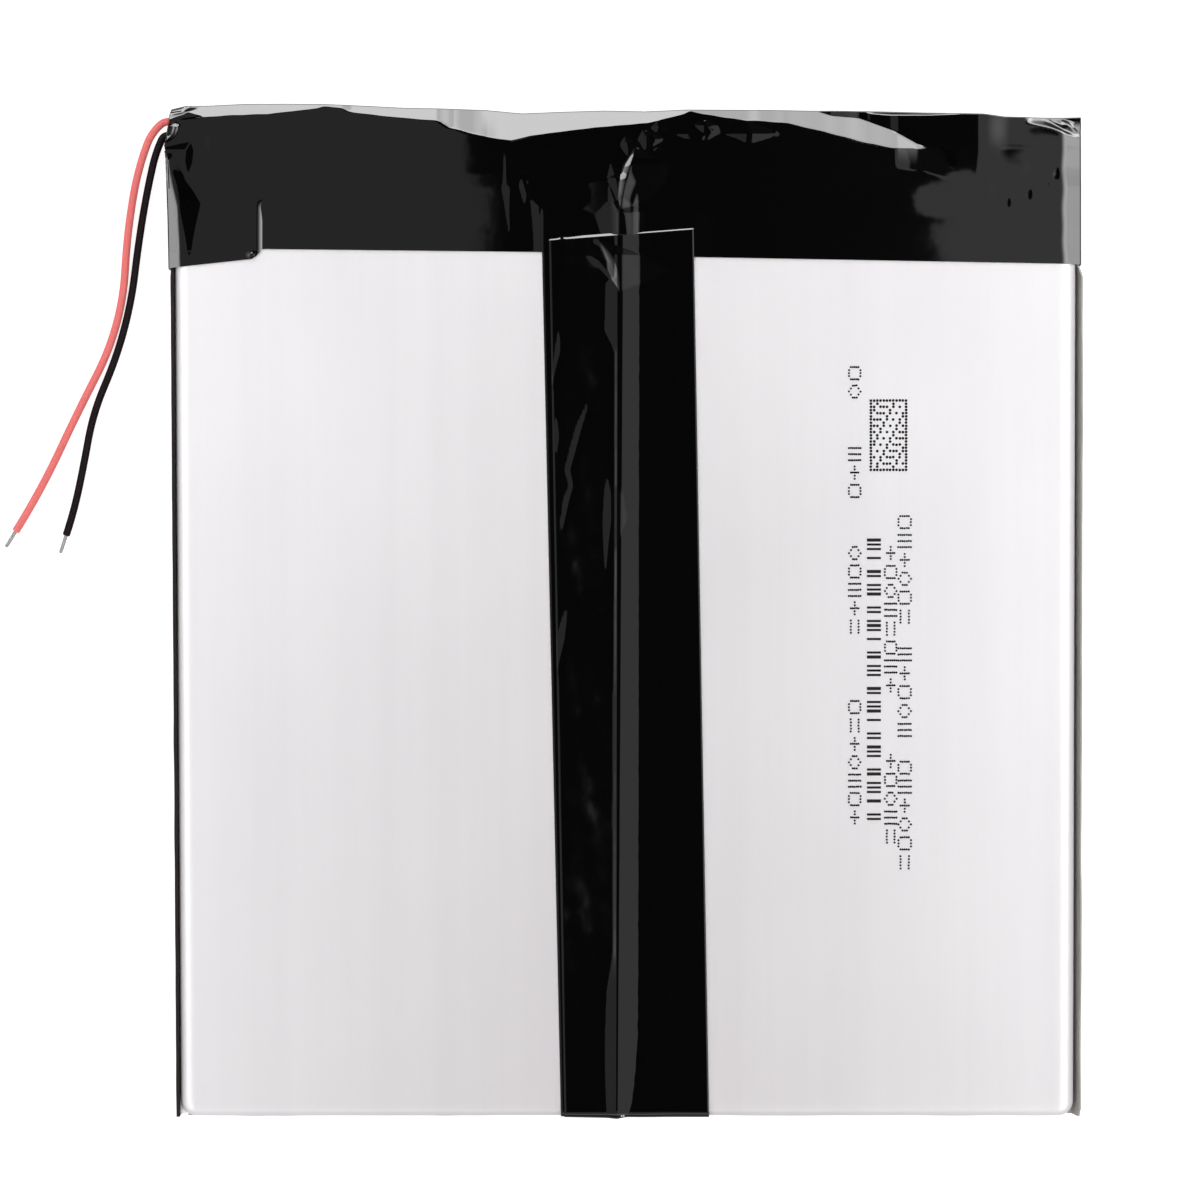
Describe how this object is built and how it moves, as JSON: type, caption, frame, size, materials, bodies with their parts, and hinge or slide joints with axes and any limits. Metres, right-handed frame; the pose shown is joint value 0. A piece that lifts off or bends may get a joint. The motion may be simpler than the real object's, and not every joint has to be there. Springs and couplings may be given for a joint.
{
  "type": "lithium-ion pouch battery pack",
  "caption": "Flat lithium-ion battery pack: pouch cells side by side under a black seam tape and end wrap, with a protection board and flying leads.",
  "frame": {"origin": "centre of the rear resting face, midway across the pack and midway along it", "axes": "+X across the two cells with the pack seen from the front, away from the side where the leads come out; +Y along the cells towards the tabs, the board and the lead exit; +Z through the thickness, out of the formed front faces"},
  "size_m": [0.143, 0.1334, 0.0045],
  "materials": {
    "pouch_laminate": "satin aluminium laminate film",
    "cathode_coating": "dark grey oxide coating",
    "anode_coating": "black graphite coating",
    "separator_film": "white microporous film",
    "aluminium_tab": "rolled strip",
    "nickel_tab": "rolled nickel strip",
    "sealant_film": "milky sealant film",
    "stack_tape": "green holding tape",
    "board_laminate": "green solder mask on glass laminate",
    "board_copper": "gold-flashed copper",
    "weld_nickel": "nickel plate",
    "chip_package": "moulded epoxy",
    "tin_plate": "bright tin plate",
    "resistor_body": "glazed ceramic chip",
    "capacitor_body": "ceramic chip",
    "solder": "bright solder",
    "barley_paper": "fibre paper",
    "polyimide_tape": "amber polyimide film",
    "black_tape": "glossy black polyester tape",
    "red_jacket": "red silicone-like jacket",
    "black_jacket": "black silicone-like jacket",
    "tinned_copper": "tinned strands"
  },
  "bodies": {
    "pack": {"black_lead_core_root": "tinned_copper", "black_lead_jacket_root": "black_jacket", "board_copper_pads": "board_copper", "board_insulation_tape": "polyimide_tape", "board_insulator_strip": "barley_paper", "board_weld_plates": "weld_nickel", "chip_capacitors": "capacitor_body", "chip_end_caps": "tin_plate", "chip_pins": "tin_plate", "chip_resistors": "resistor_body", "header_wrap_tape": "black_tape", "inner_seam_tape": "black_tape", "left_anode_sheets": "anode_coating", "left_cathode_sheets": "cathode_coating", "left_negative_tab": "nickel_tab", "left_positive_tab": "aluminium_tab", "left_pouch_cover": "pouch_laminate", "left_pouch_cup": "pouch_laminate", "left_separator": "separator_film", "left_stack_tapes": "stack_tape", "left_tab_seal_films": "sealant_film", "outer_seam_tape": "black_tape", "power_switch_chips": "chip_package", "protection_board": "board_laminate", "protection_chip": "chip_package", "red_lead_core_root": "tinned_copper", "red_lead_jacket_root": "red_jacket", "right_anode_sheets": "anode_coating", "right_cathode_sheets": "cathode_coating", "right_negative_tab": "nickel_tab", "right_positive_tab": "aluminium_tab", "right_pouch_cover": "pouch_laminate", "right_pouch_cup": "pouch_laminate", "right_separator": "separator_film", "right_stack_tapes": "stack_tape", "right_tab_seal_films": "sealant_film", "solder_joints": "solder"},
    "red_lead_near": {"red_lead_jacket_near": "red_jacket", "red_lead_core_near": "tinned_copper"},
    "red_lead_far": {"red_lead_jacket_far": "red_jacket", "red_lead_core_far": "tinned_copper"},
    "black_lead_near": {"black_lead_jacket_near": "black_jacket", "black_lead_core_near": "tinned_copper"},
    "black_lead_far": {"black_lead_jacket_far": "black_jacket", "black_lead_core_far": "tinned_copper"}
  },
  "joints": [
    {"name": "red_lead_fold", "type": "hinge", "parent": "pack", "child": "red_lead_near", "pos_m": [-0.0613, 0.06515, 0.00196], "axis": [0, 1, 0], "range_deg": [-60, 80]},
    {"name": "red_lead_bend", "type": "hinge", "parent": "red_lead_near", "child": "red_lead_far", "pos_m": [-0.07056, 0.0313, 0.00059], "axis": [0, 0, 1], "range_deg": [-60, 0]},
    {"name": "black_lead_fold", "type": "hinge", "parent": "pack", "child": "black_lead_near", "pos_m": [-0.0613, 0.06335, 0.00196], "axis": [0, 1, 0], "range_deg": [-60, 80]},
    {"name": "black_lead_bend", "type": "hinge", "parent": "black_lead_near", "child": "black_lead_far", "pos_m": [-0.06921, 0.03048, 0.00061], "axis": [0, 0, 1], "range_deg": [0, 30]}
  ]
}
